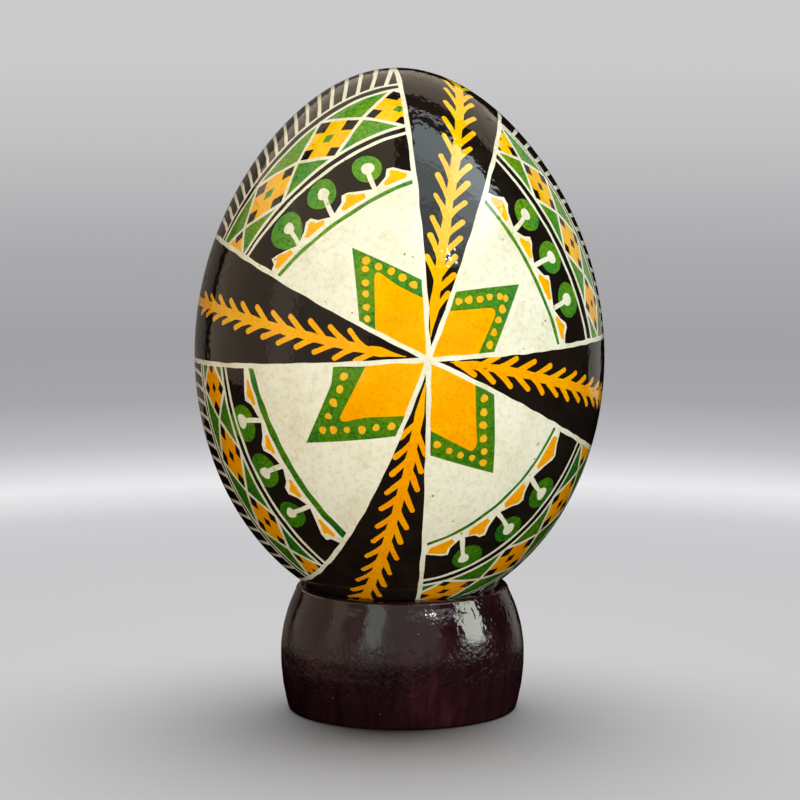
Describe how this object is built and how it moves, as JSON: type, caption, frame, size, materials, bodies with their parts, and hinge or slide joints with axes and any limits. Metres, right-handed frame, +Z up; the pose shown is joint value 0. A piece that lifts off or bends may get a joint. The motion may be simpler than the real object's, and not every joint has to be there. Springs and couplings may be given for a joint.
{
  "type": "decorated egg in a ring stand",
  "caption": "Blown hen's egg with a geometric wax-resist pattern, standing blunt end down in a low turned wooden ring.",
  "frame": {"origin": "middle of the stand's flat foot, on the axis of the egg and the stand", "axes": "+Z up along the axis towards the egg's pointed end; -Y is the side that the star faces; +X completes the right-handed frame"},
  "size_m": [0.043, 0.043, 0.0676],
  "materials": {
    "shell": "varnished eggshell with dyed pattern",
    "membrane": "thin matte skin",
    "wax": "beeswax",
    "lacquered_wood": "dark glossy lacquer"
  },
  "bodies": {
    "stand": {"stand_ring": "lacquered_wood"},
    "lining": {"shell_membrane": "membrane"},
    "egg": {"eggshell": "shell", "hole_plug": "wax"}
  },
  "joints": [
    {"name": "egg_lift", "type": "slide", "parent": "stand", "child": "lining", "axis": [0, 0, 1], "range_m": [0, 0.03]},
    {"name": "egg_turn", "type": "hinge", "parent": "lining", "child": "egg", "pos_m": [0, 0, 0.0375], "axis": [0, 0, 1], "continuous": true}
  ]
}
